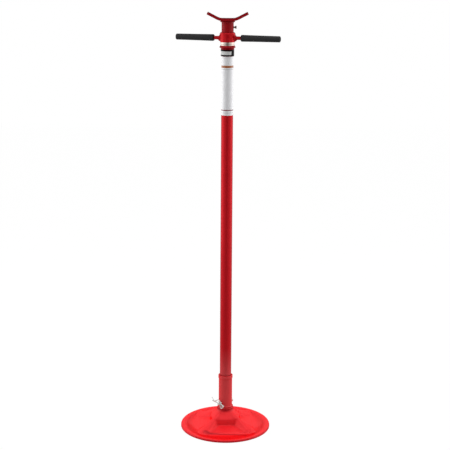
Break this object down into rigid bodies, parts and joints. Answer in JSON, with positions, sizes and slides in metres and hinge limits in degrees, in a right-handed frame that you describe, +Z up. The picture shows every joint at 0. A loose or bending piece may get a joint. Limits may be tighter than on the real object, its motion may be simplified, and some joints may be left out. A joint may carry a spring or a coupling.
{
  "type": "underhoist stand",
  "caption": "Tall support stand: a round stamped base, a tube column and a screw under a cradle saddle, raised by a spin handle on a ball thrust bearing.",
  "frame": {"origin": "on the floor, under the column's axis, at the middle of the round base", "axes": "+Z up along the column, X along the saddle's wings, -Y towards the front of the stand"},
  "size_m": [0.3312, 0.3, 1.3824],
  "materials": {
    "red_paint": "gloss",
    "red_rod_paint": "gloss",
    "black_film": "gloss",
    "white_film": "gloss",
    "bearing_steel": "satin",
    "ball_steel": "polished",
    "cage_brass": "satin",
    "grip_rubber": "matte",
    "screw_steel": "oiled",
    "spring_steel": "satin",
    "zinc": "satin"
  },
  "bodies": {
    "stand": {"base_plate": "red_paint", "base_socket": "red_paint", "column_tube": "red_paint", "column_cap": "red_paint", "header_label": "black_film", "label_wrap": "white_film", "bearing_lower_race": "bearing_steel"},
    "ball_cage": {"bearing_cage": "cage_brass", "bearing_balls": "ball_steel"},
    "handle": {"bearing_upper_race": "bearing_steel", "spin_hub": "red_paint", "handle_rod_left": "red_rod_paint", "handle_rod_right": "red_rod_paint", "grip_left": "grip_rubber", "grip_right": "grip_rubber"},
    "screw": {"spindle": "screw_steel", "stop_collar": "screw_steel", "stop_pin": "spring_steel"},
    "saddle": {"saddle_plate": "red_paint", "saddle_sleeve": "red_paint"},
    "sleeve_bolt": {"set_bolt": "zinc"},
    "lock_pin": {"base_pin": "zinc"},
    "lock_clip": {"hairpin_clip": "zinc"}
  },
  "joints": [
    {"name": "handle_spin", "type": "hinge", "parent": "stand", "child": "handle", "pos_m": [0, 0, 1.3025], "axis": [0, 0, 1], "range_deg": [-46800, 0]},
    {"name": "spindle_lift", "type": "slide", "parent": "stand", "child": "screw", "axis": [0, 0, 1], "range_m": [0, 0.65]},
    {"name": "cage_turn", "type": "hinge", "parent": "stand", "child": "ball_cage", "pos_m": [0, 0, 1.2841], "axis": [0, 0, 1], "range_deg": [-23401, 0]},
    {"name": "saddle_swivel", "type": "hinge", "parent": "screw", "child": "saddle", "pos_m": [0, 0, 1.338], "axis": [0, 0, 1], "continuous": true},
    {"name": "set_bolt_turn", "type": "hinge", "parent": "saddle", "child": "sleeve_bolt", "pos_m": [0.02, 0, 1.3356], "axis": [1, 0, 0], "range_deg": [0, 1080]},
    {"name": "base_pin_turn", "type": "hinge", "parent": "stand", "child": "lock_pin", "pos_m": [0, 0, 0.0846], "axis": [-0.7071, -0.7071, 0], "range_deg": [-200, 40]},
    {"name": "clip_pull", "type": "slide", "parent": "lock_pin", "child": "lock_clip", "axis": [0.7054, -0.7054, -0.0698], "range_m": [0, 0.045], "deforming": ["hairpin_clip"]}
  ],
  "couplings": [
    {"joint": "spindle_lift", "follows": "handle_spin", "m_per_rad": -0.00079577},
    {"joint": "cage_turn", "follows": "handle_spin", "ratio": 0.5}
  ]
}
